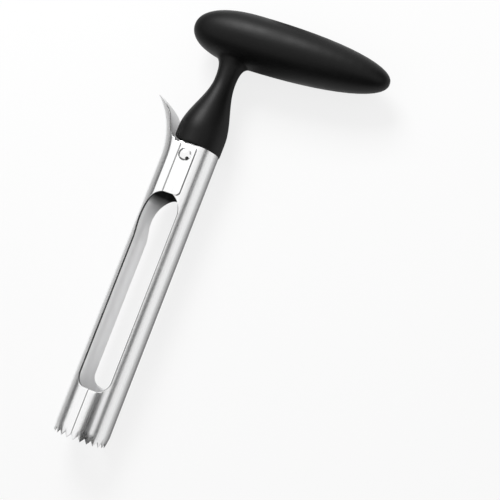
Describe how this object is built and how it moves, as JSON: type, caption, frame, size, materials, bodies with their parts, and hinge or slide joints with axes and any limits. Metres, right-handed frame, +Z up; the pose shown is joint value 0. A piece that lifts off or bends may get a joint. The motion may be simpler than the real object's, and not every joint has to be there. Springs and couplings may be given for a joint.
{
  "type": "apple corer",
  "caption": "Hand corer with a black T-shaped cross grip on a toothed steel coring tube, split so that a thumb lever swings one blade open to release the core.",
  "frame": {"origin": "bottom centre of the box of the corer as it lies on its side", "axes": "+Y along the tube from the teeth towards the cross grip, +X from the lever side to the long end of the grip, +Z up, out of the side that faces the viewer"},
  "size_m": [0.088, 0.1826, 0.024],
  "materials": {
    "black_plastic": "satin moulded",
    "blade_steel": "bright stainless",
    "rivet_steel": "polished stainless"
  },
  "bodies": {
    "handle_body": {"handle": "black_plastic", "fixed_blade": "blade_steel", "front_rivet": "rivet_steel", "back_rivet": "rivet_steel"},
    "lever_body": {"hinged_blade": "blade_steel"}
  },
  "joints": [
    {"name": "blade_hinge", "type": "hinge", "parent": "handle_body", "child": "lever_body", "pos_m": [-0.02062, 0.0267, 0.01168], "axis": [0, 0.006, -1], "range_deg": [0, 12]}
  ]
}
